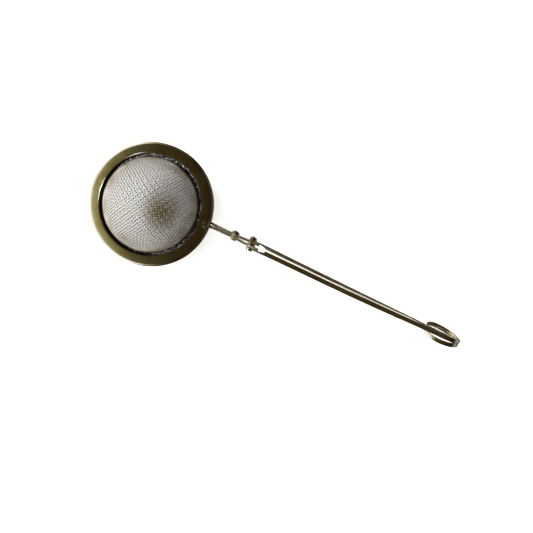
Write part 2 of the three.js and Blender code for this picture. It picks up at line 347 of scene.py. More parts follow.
def polishedRimSteel(finish):
    material, tree, _, place = newMaterial("polishedRimSteel")
    parts = addNode(tree, "ShaderNodeSeparateXYZ", {"Vector": place})
    flat = addNode(tree, "ShaderNodeCombineXYZ", {"X": parts.outputs["X"], "Y": parts.outputs["Y"]})
    radius = addNode(tree, "ShaderNodeVectorMath", {0: flat.outputs["Vector"]}, operation="LENGTH")
    # Round the axis the lines run for a long way.
    slow = addNode(tree, "ShaderNodeVectorMath", {
        0: flat.outputs["Vector"], "Scale": 1 / finish["ringStretch"]}, operation="SCALE")
    slowParts = addNode(tree, "ShaderNodeSeparateXYZ", {"Vector": slow.outputs["Vector"]})
    across = addNode(tree, "ShaderNodeMath", {0: radius.outputs["Value"], 1: parts.outputs["Z"]},
                     operation="SUBTRACT")
    ringPlace = addNode(tree, "ShaderNodeCombineXYZ", {
        "X": slowParts.outputs["X"],
        "Y": slowParts.outputs["Y"],
        "Z": across.outputs["Value"],
    })
    rings = addNode(tree, "ShaderNodeTexNoise", {
        "Vector": ringPlace.outputs["Vector"], "Scale": 1 / finish["ringSpacing"], "Detail": 2.0})
    film = addNode(tree, "ShaderNodeTexNoise", {
        "Vector": place, "Scale": 1 / finish["filmSize"], "Detail": 4.0, "Roughness": 0.6})
    filmAmount = addNode(tree, "ShaderNodeValToRGB", {"Fac": film.outputs["Fac"]},
                         stops=[(0.35, black), (0.68, white)])
    face = addNode(tree, "ShaderNodeMix", {
        0: filmAmount.outputs["Color"], 6: linear(finish["clean"]), 7: linear(finish["film"])},
        data_type="RGBA")
    # Painted shade on the wall: dark brown below a line that climbs towards the handle.
    climb = addNode(tree, "ShaderNodeMapRange", {
        "Value": parts.outputs["X"], "From Min": finish["climbFrom"], "From Max": finish["climbFull"],
        "To Max": finish["wallClimb"]})
    level = addNode(tree, "ShaderNodeMath", {0: parts.outputs["Z"], 1: climb.outputs["Result"]},
                    operation="SUBTRACT")
    start, full = finish["wallShadeBand"]
    wallShadeShare = addNode(tree, "ShaderNodeMapRange", {
        "Value": level.outputs["Value"], "From Min": start, "From Max": full})
    colour = addNode(tree, "ShaderNodeMix", {
        0: wallShadeShare.outputs["Result"], 6: face.outputs[2], 7: linear(finish["wall"])},
        data_type="RGBA")
    smudge = addNode(tree, "ShaderNodeTexNoise", {
        "Vector": place, "Scale": 1 / finish["smudgeSize"], "Detail": 3.0})
    low, high = finish["roughness"]
    rough = addNode(tree, "ShaderNodeMapRange", {
        "Value": smudge.outputs["Fac"], "From Min": 0.3, "From Max": 0.7,
        "To Min": low, "To Max": high})
    finishMetal(tree, colour.outputs[2], finish["metallic"], rough.outputs["Result"],
                rings.outputs["Fac"], finish["ringDepth"])
    return material


# Woven stainless wire, drawn bright, with a painted highlight on the outward crowns of the weave and
# painted shade on the inward side of each wire. Tea has browned it low down, where it stays wet against
# the rim, and a brass spot near the pole is a painted reflection.
clothFinish = {
    "bright": "#f0eeea",
    "stained": "#a18a62",
    "inside": "#1f180e",  # painted shade: the side of each wire facing into the ball, and its low points in the weave
    "skirtShade": "#0f0b06",  # painted shade: the skirt under the rim, drawn near black
    "skirtShadeFrom": 8.2,  # mm above the ball's middle plane
    "skirtShadeFull": 6.6,
    "brassSpot": "#93804e",  # painted reflection: a brass-coloured spot near the pole, where the wires mirror the dark room overhead
    "brassSpotPlace": (5.9, -0.3, 20.0),
    "brassSpotFull": 1.5,
    "brassSpotEdge": 9.0,
    "brassSpotRagged": 5.0,  # mm that its edge comes and goes
    "crownHighlight": 0.35,  # how much more painted highlight the crowns get than the sides of a wire
    "metallic": 0.85,  # dried tea and scale leave the fine wire a little matt
    "roughness": (0.3, 0.42),
    "stainFrom": 14.0,  # mm above the ball's middle plane where the stain begins to show
    "stainFull": 4.0,
    "stainWander": 24.0,
    "patchSize": 6.0,
    "drawSize": 0.15,
    "drawDepth": 0.002,
}


def wovenWireSteel(finish):
    material, tree, _, place = newMaterial("wovenWireSteel")
    height = addNode(tree, "ShaderNodeSeparateXYZ", {"Vector": place}).outputs["Z"]
    patches = addNode(tree, "ShaderNodeTexNoise", {
        "Vector": place, "Scale": 1 / finish["patchSize"], "Detail": 3.0, "Roughness": 0.6})
    wander = addNode(tree, "ShaderNodeMath", {
        0: patches.outputs["Fac"], 1: finish["stainWander"], 2: -finish["stainWander"] / 2},
        operation="MULTIPLY_ADD")
    level = addNode(tree, "ShaderNodeMath", {0: height, 1: wander.outputs["Value"]}, operation="ADD")
    stain = addNode(tree, "ShaderNodeMapRange", {
        "Value": level.outputs["Value"], "From Min": finish["stainFrom"], "From Max": finish["stainFull"]})
    rimmed = addNode(tree, "ShaderNodeMix", {
        0: stain.outputs["Result"], 6: linear(finish["bright"]), 7: linear(finish["stained"])},
        data_type="RGBA")
    # Painted reflection: a ragged brass-coloured spot round a point near the pole.
    away = addNode(tree, "ShaderNodeVectorMath", {0: place, 1: finish["brassSpotPlace"]},
                   operation="DISTANCE")
    ragged = addNode(tree, "ShaderNodeMath", {
        0: patches.outputs["Fac"], 1: finish["brassSpotRagged"], 2: away.outputs["Value"]},
        operation="MULTIPLY_ADD")
    brassSpotShare = addNode(tree, "ShaderNodeMapRange", {
        "Value": ragged.outputs["Value"],
        "From Min": finish["brassSpotEdge"] + finish["brassSpotRagged"] / 2,
        "From Max": finish["brassSpotFull"] + finish["brassSpotRagged"] / 2})
    outside = addNode(tree, "ShaderNodeMix", {
        0: brassSpotShare.outputs["Result"], 6: rimmed.outputs[2], 7: linear(finish["brassSpot"])},
        data_type="RGBA")
    # The mesh says which way each point of a wire faces, and how high it is in the weave: the inward side
    # and low points of each wire get painted shade, the outward crowns a painted highlight.
    outward = addNode(tree, "ShaderNodeAttribute", attribute_name="outward").outputs["Fac"]
    crown = addNode(tree, "ShaderNodeAttribute", attribute_name="crown").outputs["Fac"]
    weaveLight = addNode(tree, "ShaderNodeMath", {0: crown, 1: finish["crownHighlight"], 2: outward},
                      operation="MULTIPLY_ADD")
    weaveLightShare = addNode(tree, "ShaderNodeMapRange", {
        "Value": weaveLight.outputs["Value"], "From Min": 0.0, "From Max": 0.75})
    wire = addNode(tree, "ShaderNodeMix", {
        0: weaveLightShare.outputs["Result"], 6: linear(finish["inside"]), 7: outside.outputs[2]},
        data_type="RGBA")
    # Painted shade: the cloth goes near black below the rim, where the gap is shut in.
    skirtShadeShare = addNode(tree, "ShaderNodeMapRange", {
        "Value": height, "From Min": finish["skirtShadeFrom"], "From Max": finish["skirtShadeFull"]})
    colour = addNode(tree, "ShaderNodeMix", {
        0: skirtShadeShare.outputs["Result"], 6: wire.outputs[2], 7: linear(finish["skirtShade"])},
        data_type="RGBA")
    low, high = finish["roughness"]
    rough = addNode(tree, "ShaderNodeMapRange", {
        "Value": patches.outputs["Fac"], "From Min": 0.3, "From Max": 0.7,
        "To Min": high, "To Max": low})
    drawn = addNode(tree, "ShaderNodeTexNoise", {
        "Vector": place, "Scale": 1 / finish["drawSize"], "Detail": 2.0})
    finishMetal(tree, colour.outputs[2], finish["metallic"], rough.outputs["Result"],
                drawn.outputs["Fac"], finish["drawDepth"])
    return material


# Blanked stainless plate, tumbled after stamping: its faces keep a fine directionless scuff and
# its rounded edges are rubbed brighter.
leverFinish = {
    "face": "#a99f82",
    "edge": "#c9c3ae",
    "metallic": 1.0,
    "roughness": (0.16, 0.26),
    "edgeRoughness": 0.42,  # the cut edge is matt where the press tore it
    "edgeMetallic": 0.94,
    "stemFrom": 25.6,  # X where the foot ends and the stem starts
    "scuffSize": 0.35,
    "scuffDepth": 0.003,
}


def tumbledLeverSteel(finish):
    material, tree, coordinates, place = newMaterial("tumbledLeverSteel")
    edges = addNode(tree, "ShaderNodeNewGeometry").outputs["Pointiness"]
    wear = addNode(tree, "ShaderNodeValToRGB", {"Fac": edges}, stops=[(0.5, black), (0.56, white)])
    colour = addNode(tree, "ShaderNodeMix", {
        0: wear.outputs["Color"], 6: linear(finish["face"]), 7: linear(finish["edge"])},
        data_type="RGBA")
    scuffs = addNode(tree, "ShaderNodeTexNoise", {
        "Vector": place, "Scale": 1 / finish["scuffSize"], "Detail": 3.0})
    low, high = finish["roughness"]
    rough = addNode(tree, "ShaderNodeMapRange", {
        "Value": scuffs.outputs["Fac"], "From Min": 0.3, "From Max": 0.7,
        "To Min": low, "To Max": high})
    facing = addNode(tree, "ShaderNodeSeparateXYZ", {
        "Vector": coordinates.outputs["Normal"]}).outputs["Y"]
    along = addNode(tree, "ShaderNodeSeparateXYZ", {"Vector": place}).outputs["X"]
    footShare = addNode(tree, "ShaderNodeMapRange", {
        "Value": along, "From Min": finish["stemFrom"] + 0.5, "From Max": finish["stemFrom"]})
    aside = addNode(tree, "ShaderNodeMath", {0: facing}, operation="ABSOLUTE")
    onFace = addNode(tree, "ShaderNodeMath", {0: aside.outputs["Value"], 1: footShare.outputs["Result"]},
                     operation="MAXIMUM")
    cutEdge = addNode(tree, "ShaderNodeMapRange", {
        "Value": onFace.outputs["Value"], "From Min": 0.3, "From Max": 0.7,
        "To Min": finish["edgeRoughness"], "To Max": 0.0})
    roughest = addNode(tree, "ShaderNodeMath", {0: rough.outputs["Result"], 1: cutEdge.outputs["Result"]},
                       operation="MAXIMUM")
    metal = addNode(tree, "ShaderNodeMapRange", {
        "Value": onFace.outputs["Value"], "From Min": 0.3, "From Max": 0.7,
        "To Min": finish["edgeMetallic"], "To Max": finish["metallic"]})
    finishMetal(tree, colour.outputs[2], metal.outputs["Result"], roughest.outputs["Value"],
                scuffs.outputs["Fac"], finish["scuffDepth"])
    return material


# Cold-headed steel rivets: the die leaves a mirror-smooth dome with faint spots, so each head shows
# the dark room and one hard highlight.
rivetFinish = {
    "metal": "#a9a59b",
    "grime": "#5b5341",
    "metallic": 1.0,
    "roughness": (0.12, 0.22),
    "spotSize": 0.5,
    "spotDepth": 0.004,
}


def headedRivetSteel(finish):
    material, tree, _, place = newMaterial("headedRivetSteel")
    spots = addNode(tree, "ShaderNodeTexNoise", {
        "Vector": place, "Scale": 1 / finish["spotSize"], "Detail": 3.0}).outputs["Fac"]
    grime = addNode(tree, "ShaderNodeValToRGB", {"Fac": spots}, stops=[(0.5, black), (0.75, white)])
    colour = addNode(tree, "ShaderNodeMix", {
        0: grime.outputs["Color"], 6: linear(finish["metal"]), 7: linear(finish["grime"])},
        data_type="RGBA")
    low, high = finish["roughness"]
    rough = addNode(tree, "ShaderNodeMapRange", {
        "Value": spots, "From Min": 0.3, "From Max": 0.7, "To Min": low, "To Max": high})
    finishMetal(tree, colour.outputs[2], finish["metallic"], rough.outputs["Result"],
                spots, finish["spotDepth"])
    return material


# Cold-rolled spring strip: the rolls draw long straight streaks down its length, which hold the
# light in thin lines, and handling has dulled the outside of the arms.
stripFinish = {
    "metal": "#cbc8bf",
    "dull": "#b5ad96",
    "metallic": 1.0,
    "roughness": (0.15, 0.26),
    "streakWidth": 0.12,
    "streakLength": 25.0,
    "streakDepth": 0.003,
    "dullSize": 9.0,
    # A painted pale line in the lower arm's channel, drawn like dried limescale: painted light, a guess
    # that stands in for the bright gap and parts the two arms to the eye from above, where the upper one
    # covers the gap.
    "gapLight": "#bfbcb3",
    "gapLightMetallic": 0.1,
    "gapLightLine": (0.75, -0.1),  # Y down the middle of that arm, at its front and at the coil
    "gapLightAlong": (49.0, 127.7),  # X of both
    "gapLightWide": (-0.45, 0.22),  # how far across the arm it reaches, at the front and next to the coil
    "gapLightFrom": 70.0,  # X where it starts to widen
    "gapLightTo": 117.0,
    "gapLightEnd": 124.0,
    "gapLightFade": 4.0,
    "gapLightRagged": 0.3,  # mm that its edge comes and goes
}


def rolledStripSteel(finish):
    material, tree, coordinates, place = newMaterial("rolledStripSteel")
    # The map is in mm: down the strip, and round its section.
    stretched = addNode(tree, "ShaderNodeVectorMath", {
        0: coordinates.outputs["UV"], 1: (1 / finish["streakLength"], 1 / finish["streakWidth"], 1.0)},
        operation="MULTIPLY")
    streaks = addNode(tree, "ShaderNodeTexNoise", {
        "Vector": stretched.outputs["Vector"], "Scale": 1.0, "Detail": 3.0}).outputs["Fac"]
    dull = addNode(tree, "ShaderNodeTexNoise", {
        "Vector": place, "Scale": 1 / finish["dullSize"], "Detail": 3.0})
    amount = addNode(tree, "ShaderNodeValToRGB", {"Fac": dull.outputs["Fac"]},
                     stops=[(0.35, black), (0.7, white)])
    colour = addNode(tree, "ShaderNodeMix", {
        0: amount.outputs["Color"], 6: linear(finish["metal"]), 7: linear(finish["dull"])},
        data_type="RGBA")
    # The strip's mesh lies in the part's frame, so its place is turned back into the tool's own.
    centred = addNode(tree, "ShaderNodeVectorMath", {0: place, 1: tuple(toolFrame.translation * toMm)},
                      operation="SUBTRACT").outputs["Vector"]
    along, aside, above = (
        addNode(tree, "ShaderNodeVectorMath", {0: centred, 1: tuple(axis)}, operation="DOT_PRODUCT")
        .outputs["Value"] for axis in (toolAlong, toolSide, toolUp))
    # Painted light: where the pale line lies across the lower arm's channel, standing in for the bright
    # gap between the arms.
    narrow, wide = finish["gapLightWide"]
    reach = addNode(tree, "ShaderNodeMapRange", {
        "Value": along, "From Min": finish["gapLightFrom"], "From Max": finish["gapLightTo"],
        "To Min": narrow, "To Max": wide})
    front, back = finish["gapLightAlong"]
    first, last = finish["gapLightLine"]
    armLine = addNode(tree, "ShaderNodeMapRange", {
        "Value": along, "From Min": front, "From Max": back, "To Min": first, "To Max": last})
    edge = addNode(tree, "ShaderNodeMath", {0: armLine.outputs["Result"], 1: reach.outputs["Result"]},
                   operation="ADD")
    beyond = addNode(tree, "ShaderNodeMath", {0: aside, 1: edge.outputs["Value"]}, operation="SUBTRACT")
    ragged = addNode(tree, "ShaderNodeMath", {
        0: dull.outputs["Fac"], 1: finish["gapLightRagged"], 2: beyond.outputs["Value"]},
        operation="MULTIPLY_ADD")
    gapLightEdge = addNode(tree, "ShaderNodeMapRange", {
        "Value": ragged.outputs["Value"], "From Min": 0.25, "From Max": 0.05})
    lower = addNode(tree, "ShaderNodeMapRange", {
        "Value": above, "From Min": -2.0, "From Max": -4.0})
    ahead = addNode(tree, "ShaderNodeMapRange", {
        "Value": along, "From Min": finish["gapLightEnd"],
        "From Max": finish["gapLightEnd"] - finish["gapLightFade"]})
    facing = addNode(tree, "ShaderNodeSeparateXYZ", {"Vector": coordinates.outputs["Normal"]})
    upward = addNode(tree, "ShaderNodeMapRange", {
        "Value": facing.outputs["Z"], "From Min": 0.5, "From Max": 0.8})
    gapLight = gapLightEdge.outputs["Result"]
    for share in (lower, ahead, upward):
        gapLight = addNode(tree, "ShaderNodeMath", {0: gapLight, 1: share.outputs["Result"]},
                        operation="MULTIPLY").outputs["Value"]
    gapLit = addNode(tree, "ShaderNodeMix", {
        0: gapLight, 6: colour.outputs[2], 7: linear(finish["gapLight"])}, data_type="RGBA")
    gapLightMetal = addNode(tree, "ShaderNodeMapRange", {
        "Value": gapLight, "To Min": finish["metallic"], "To Max": finish["gapLightMetallic"]})
    low, high = finish["roughness"]
    rough = addNode(tree, "ShaderNodeMapRange", {
        "Value": streaks, "From Min": 0.3, "From Max": 0.7, "To Min": low, "To Max": high})
    gapLightRough = addNode(tree, "ShaderNodeMath", {0: gapLight, 1: rough.outputs["Result"]}, operation="MAXIMUM")
    finishMetal(tree, gapLit.outputs[2], gapLightMetal.outputs["Result"], gapLightRough.outputs["Value"],
                streaks, finish["streakDepth"])
    return material


rimSteel = polishedRimSteel(rimFinish)
# The same sheet drawn near black, as painted shade where it is shut in under the ledge.
shadedSeamSteel = polishedRimSteel({**rimFinish, "clean": "#2e2618", "film": "#1c160c"})
shadedSeamSteel.name = "seamShadeSteel"
wireSteel = wovenWireSteel(clothFinish)
leverSteel = tumbledLeverSteel(leverFinish)
rivetSteel = headedRivetSteel(rivetFinish)
stripSteel = rolledStripSteel(stripFinish)
print("materials made")


def settle(piece, material, slot, body, *nodes):
    piece.data.materials.clear()
    piece.data.materials.append(material)
    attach(piece, body)
    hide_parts(*nodes)


rim = {
    "radius": 25.0,
    "sheet": 0.5,
    "gap": 0.15,  # from the edge of the wall to the ball's middle plane
    "bend": 2.4,  # outside of the round shoulder between wall and ledge
    "slope": 31.0,  # degrees that the ledge climbs at its outer edge
    "hollow": 0.0198,  # how fast it flattens towards the dome
    "ledge": 27.0,  # degrees on the whole
    "edgeHeight": 3.135,  # where the ledge, carried on, would meet the wall
    "lip": 20.3,
    "lipCurl": ((0.15, 0.07), (0.3, 0.12)),  # its last steps inward and up
}
ledgeRise = math.tan(math.radians(rim["slope"]))
ledgeAside = 1 / math.cos(math.radians(rim["ledge"]))


def ledgeHeight(radius, depth=0.0):
    inward = rim["radius"] - radius
    return rim["edgeHeight"] + inward * ledgeRise - inward ** 2 * rim["hollow"] - depth * ledgeAside


# The shoulder ends where its own slope is the ledge's.
shoulderSlope = math.radians(rim["slope"])
for _ in range(5):
    shoulderEnd = rim["bend"] * (1 - math.sin(shoulderSlope))
    shoulderSlope = math.atan(ledgeRise - 2 * rim["hollow"] * shoulderEnd)
shoulderTurn = 90 - math.degrees(shoulderSlope)
bendCentre = (rim["radius"] - rim["bend"],
              ledgeHeight(rim["radius"] - shoulderEnd) - rim["bend"] * math.cos(shoulderSlope))


def rimRing(side, half):
    skin = rim["sheet"] / 2
    wall = rim["radius"] - skin
    lipStart = rim["lip"] + skin + rim["lipCurl"][-1][0]
    middle = [(wall, z) for z in np.linspace(rim["gap"] + skin, bendCentre[1] - 0.15, 6)]
    middle += arc(bendCentre, rim["bend"] - skin, 0, shoulderTurn, 14)
    start = middle[-1][0]
    for radius in np.linspace(start, lipStart, 14)[1:]:
        middle.append((radius, ledgeHeight(radius, skin)))
    radius, height = middle[-1]
    middle += [(radius - inward, height + rise) for inward, rise in rim["lipCurl"]]
    ring = turnedPiece(f"{side}_rim_ring_pressed", sheetOutline(middle, rim["sheet"], 6), half["ball"])
    settle(ring, rimSteel, "pressed_rim_steel", half["body"], f"{side}_rim_ring")


# The ring inside that holds the cut edge of the cloth up against the ledge.
retainer = {"radius": 24.0, "foot": 0.3, "lip": 20.8, "sheet": 0.5, "bend": 0.8, "depth": 1.6}


def retainerRing(side, half):
    skin = retainer["sheet"] / 2
    wall = retainer["radius"] - skin
    depth = retainer["depth"] + skin
    top = ledgeHeight(wall, depth)
    lean = math.radians(rim["ledge"])
    bend = retainer["bend"]
    reach = bend * math.tan((math.pi / 2 - lean) / 2)
    centre = (wall - bend, top - reach)
    middle = [(wall, z) for z in np.linspace(retainer["foot"] + skin, centre[1] - 0.1, 5)]
    middle += arc(centre, bend, 0, 90 - rim["ledge"], 8)
    for radius in np.linspace(middle[-1][0], retainer["lip"] + skin, 8)[1:]:
        middle.append((radius, ledgeHeight(radius, depth)))
    ring = turnedPiece(f"{side}_mesh_retainer_ring_pressed", sheetOutline(middle, retainer["sheet"]),
                       half["ball"], steps=144)
    settle(ring, shadedSeamSteel, "pressed_rim_steel", half["body"], f"{side}_mesh_retainer_ring")


cloth = {
    "radius": 19.07,  # to the middle of the cloth
    "centreHeight": 2.5,
    "pitch": 1.08,  # the real cloth has 0.88: drawn coarser so that the weave shows
    "wire": 0.21,  # radius of one wire
    "wave": 0.2,  # how far each wire goes over and under
    "steps": 3,  # lengths of tube from one crossing to the next
    "turn": 59.6,  # degrees from the handle to one set of wires, at the pole
    "fillet": 80.0,  # degrees from the pole where the dome starts to turn out into its skirt
    "skirt": 23.2,
    "skirtFrom": 20.1,
    "under": 0.55,  # from the underside of the ledge to the middle of the cloth
    "slack": 0.3,  # how far the wires have crept towards even spacing
    "creep": 0.03,  # and how far each slow wave in the rows pushes them
    "jitter": 0.008,
    "sides": 6,
}


# Radius, height and arc length down the cloth, from its pole to the cut edge of its skirt.
def clothProfile():
    turns = np.radians(np.linspace(0, cloth["fillet"], 160))
    ball = np.stack([cloth["radius"] * np.sin(turns),
                     cloth["centreHeight"] + cloth["radius"] * np.cos(turns)], axis=1)
    depth = rim["sheet"] + cloth["under"]
    meet = cloth["skirtFrom"]
    corner = np.array([cloth["radius"] * 0.995, ledgeHeight(cloth["radius"] * 0.995, depth)])
    out = np.array([meet, ledgeHeight(meet, depth)])
    steps = np.linspace(0, 1, 14)[1:, None]
    fillet = (1 - steps) ** 2 * ball[-1] + 2 * steps * (1 - steps) * corner + steps ** 2 * out
    skirt = np.array([(r, ledgeHeight(r, depth)) for r in np.linspace(meet, cloth["skirt"], 20)[1:]])
    line = np.vstack([ball, fillet, skirt])
    length = np.concatenate([[0], np.cumsum(np.linalg.norm(np.diff(line, axis=0), axis=1))])
    return line[:, 0], line[:, 1], length


netEdge = -0.35  # height on a unit ball where the net stops, well under the rim
noCrossing = -0.5  # the height given to a crossing past it


# Crossings of a net of equal meshes pulled over the dome, as unit vectors, for one quarter.
# Each crossing is the mirror image of the one before last in the plane of its two neighbours.
def fishnet(count):
    step = cloth["pitch"] / cloth["radius"]
    net = np.zeros((count + 1, count + 1, 3))
    for i in range(count + 1):
        net[i, 0] = (math.sin(i * step), 0, math.cos(i * step))
        net[0, i] = (0, math.sin(i * step), math.cos(i * step))
    for i in range(1, count + 1):
        for j in range(1, count + 1):
            across = np.cross(net[i - 1, j], net[i, j - 1])
            size = np.linalg.norm(across)
            if size < 1e-5 or net[i - 1, j, 2] < netEdge or net[i, j - 1, 2] < netEdge:
                net[i, j] = (net[i - 1, j] + net[i, j - 1]) / 2
                net[i, j, 2] = noCrossing
                continue
            across /= size
            net[i, j] = net[i - 1, j - 1] - 2 * (net[i - 1, j - 1] @ across) * across
    return net


# Arc length from the pole and azimuth of every crossing, on a square array of both signs.
def clothCrossings(generator):
    reach = clothProfile()[2][-1]
    count = int(reach / cloth["pitch"]) + 2
    quarter = fishnet(count)
    index = np.arange(-count, count + 1)
    first, second = np.meshgrid(index, index, indexing="ij")
    net = quarter[np.abs(first), np.abs(second)] * np.stack(
        [np.where(first < 0, -1, 1), np.where(second < 0, -1, 1), np.ones_like(first)], axis=2)
    polar = np.arccos(np.clip(net[..., 2], -1, 1)) * cloth["radius"]
    azimuth = np.arctan2(net[..., 1], net[..., 0])
    x = polar * np.cos(azimuth) * (1 - cloth["slack"]) + first * cloth["pitch"] * cloth["slack"]
    y = polar * np.sin(azimuth) * (1 - cloth["slack"]) + second * cloth["pitch"] * cloth["slack"]
    # The cloth creeps unevenly when it is pressed, so some rows lie closer than others: five slow
    # waves, each 5 mm long or more.
    for _ in range(5):
        wave = generator.uniform(-1, 1, 2) * 2 * math.pi / generator.uniform(5, 13)
        phase = generator.uniform(0, 2 * math.pi, 2)
        x = x + cloth["creep"] * np.sin(wave[0] * x + wave[1] * y + phase[0])
        y = y + cloth["creep"] * np.sin(wave[0] * y - wave[1] * x + phase[1])
    x = x + generator.normal(0, cloth["jitter"], x.shape)
    y = y + generator.normal(0, cloth["jitter"], y.shape)
    shown = (polar <= reach * 1.02) & (net[..., 2] > noCrossing + 0.05)
    return x, y, shown


# Turns the crossings along one wire into points, outward normals and height in the weave.
def wirePath(x, y, over, profile):
    radii, heights, lengths = profile
    travel = np.linspace(0, len(x) - 1, (len(x) - 1) * cloth["steps"] + 1)
    flatX = np.interp(travel, np.arange(len(x)), x)
    flatY = np.interp(travel, np.arange(len(y)), y)
    lift = np.cos(math.pi * travel) * cloth["wave"] * (1 if over[0] else -1)
    length = np.hypot(flatX, flatY)
    azimuth = np.arctan2(flatY, flatX) + math.radians(cloth["turn"])
    radius = np.interp(length, lengths, radii)
    height = np.interp(length, lengths, heights)
    before, after = length - 0.05, length + 0.05
    tilt = np.arctan2(np.interp(after, lengths, heights) - np.interp(before, lengths, heights),
                      np.interp(after, lengths, radii) - np.interp(before, lengths, radii))
    normal = np.stack([-np.sin(tilt) * np.cos(azimuth),
                       -np.sin(tilt) * np.sin(azimuth),
                       np.cos(tilt)], 1)
    line = np.stack([radius * np.cos(azimuth), radius * np.sin(azimuth), height], 1)
    return line + normal * lift[:, None], normal, lift / cloth["wave"]


# Vertices and faces of one wire, closed at both ends.
def wireTube(line, normal, offset):
    sides = cloth["sides"]
    ahead = np.gradient(line, axis=0)
    aside = np.cross(ahead, normal)
    aside /= np.linalg.norm(aside, axis=1)[:, None]
    outward = np.cross(aside, ahead)
    outward /= np.linalg.norm(outward, axis=1)[:, None]
    turns = np.arange(sides) * 2 * math.pi / sides
    ring = line[:, None] + cloth["wire"] * (
        np.cos(turns)[None, :, None] * outward[:, None] + np.sin(turns)[None, :, None] * aside[:, None])
    faces = tubeFaces(len(line), sides, offset)
    faces.append(tuple(offset + j for j in range(sides - 1, -1, -1)))
    faces.append(tuple(offset + (len(line) - 1) * sides + j for j in range(sides)))
    return ring.reshape(-1, 3), faces


def meshDome(side, half, seed):
    generator = np.random.default_rng(seed)
    profile = clothProfile()
    x, y, shown = clothCrossings(generator)
    count = x.shape[0]
    middle = count // 2
    points, faces, crowns, used = [], [], [], 0
    for family in (0, 1):
        for row in range(count):
            keep = shown[:, row] if family == 0 else shown[row]
            if not keep[middle]:
                continue
            low = middle
            while low > 0 and keep[low - 1]:
                low -= 1
            high = middle
            while high < count - 1 and keep[high + 1]:
                high += 1
            if high - low < 2:
                continue
            span = np.arange(low, high + 1)
            lineX = x[span, row] if family == 0 else x[row, span]
            lineY = y[span, row] if family == 0 else y[row, span]
            over = (span + row + family) % 2 == 0
            line, normal, crown = wirePath(lineX, lineY, over, profile)
            ring, quads = wireTube(line, normal, used)
            points.append(ring)
            crowns.append(np.repeat(crown, cloth["sides"]))
            faces += quads
            used += len(ring)
    sides = cloth["sides"]
    marks = {
        "outward": np.tile(np.cos(np.arange(sides) * 2 * math.pi / sides), used // sides),
        "crown": np.concatenate(crowns),
    }
    dome = addPiece(f"{side}_mesh_dome_woven", np.vstack(points), faces, half["ball"],
                    sharp=80, marks=marks)
    settle(dome, wireSteel, "woven_wire_steel", half["body"], f"{side}_mesh_dome")
    print(side, "cloth:", sum(len(face) - 2 for face in faces), "triangles")


lever = {
    "face": -0.05,  # Y of the face next to the other lever
    "plate": 1.0,
    "boss": 2.1,
    "eye": 1.65,
    "tip": (1.8, 0.3),  # centre of the rounded tip, from the rear eye
    "hole": 0.88,
    "looseHole": 1.35,  # the lower lever's hole at the pivot, so that the linkage can settle
}
foot = {"radius": 1.6, "ledgeRadius": 23.0, "lift": 0.02, "top": 0.9}
stemRivet = {"radius": 1.05, "height": 0.45}


# Up beside the wall of the rim, over it to the foot, and back along the bar to the rear eye.
def leverOutline():
    eye = (rearEye.x, rearEye.z)
    tip = (eye[0] + lever["tip"][0], eye[1] + lever["tip"][1])
    off = rim["radius"] + 0.35
    hook = foot["ledgeRadius"] + stemRivet["radius"] + 0.25
    outline = [(off, 0.5), (off, 2.4), (off - 0.2, 3.1), (off - 0.55, 3.6),
               (hook, ledgeHeight(hook) + 0.45), (hook, ledgeHeight(hook) + 1), (off - 0.2, 4.4)]
    outline += bezier([(off - 0.2, 4.4), (off + 1.3, 3.6), (off + 2.4, 1.25)], 8)
    outline += arc((pivotX, 0), lever["boss"], 143.5, 83.25, 10)
    outline += arc(eye, lever["eye"], 173, 99.5, 12)
    outline += arc(tip, lever["eye"], 99.5, -80.5, 20)
    outline += arc(eye, lever["eye"], 279.5, 277, 1)
    outline += arc((pivotX, 0), lever["boss"], 366.75, 216.5, 24)
    outline += [(off + 2.2, -1.25)]
    return outline


def stemLever(side, half):
    hole = lever["hole"] if side == "upper" else lever["looseHole"]
    holes = [arc((pivotX, 0), hole, 0, 350, 35), arc((rearEye.x, rearEye.z), lever["hole"], 0, 350, 35)]
    mesh = plateMesh(f"{side}_lever", [leverOutline(), *holes], lever["plate"])
    mesh.transform(standing(lever["face"] - lever["plate"]))
    plate = dress(f"{side}_stem_lever_blanked", mesh, half["lever"], 35)
    onLedge = half["lever"] @ Matrix.Translation((
        foot["ledgeRadius"] * mm,
        (lever["face"] - lever["plate"] / 2) * mm,
        ledgeHeight(foot["ledgeRadius"]) * mm,
    )) @ Matrix.Rotation(math.radians(rim["ledge"]), 4, "Y")
    radius, low, top = foot["radius"], foot["lift"], foot["top"]
    edge = 0.22
    profile = [(0, low), (radius - 0.05, low), (radius, low + 0.05)]
    profile += arc((radius - edge, top - edge), edge, 0, 90, 5)
    profile += [(0, top)]
    disc = turnedPiece(f"{side}_foot", profile, onLedge, steps=48, closed=False)
    fuse(plate, disc)
    settle(plate, leverSteel, "blanked_lever_steel", half["body"], f"{side}_stem_lever")
    height = stemRivet["height"]
    crown = [(stemRivet["radius"] * math.cos(t), top + 0.06 + height * math.sin(t))
             for t in np.linspace(0, math.pi / 2, 9)]
    profile = [(0, top - 0.2), (0.5, top - 0.2), (0.5, top + 0.03), (0.98, top + 0.03)]
    profile += [*crown[:-1], (0, top + 0.06 + height)]
    button = turnedPiece(f"{side}_stem_rivet_headed", profile, onLedge, steps=48, closed=False)
    settle(button, rivetSteel, "headed_rivet_steel", half["body"], f"{side}_stem_rivet")


for seed, (side, half) in enumerate(halves.items()):
    rimRing(side, half)
    retainerRing(side, half)
    meshDome(side, half, seed)
    stemLever(side, half)
    print(side, "half of the ball built")


rivet = {"shank": 0.75, "head": 1.7, "crown": 1.15, "tail": 1.35, "tailHeight": 0.65, "gap": 0.1}


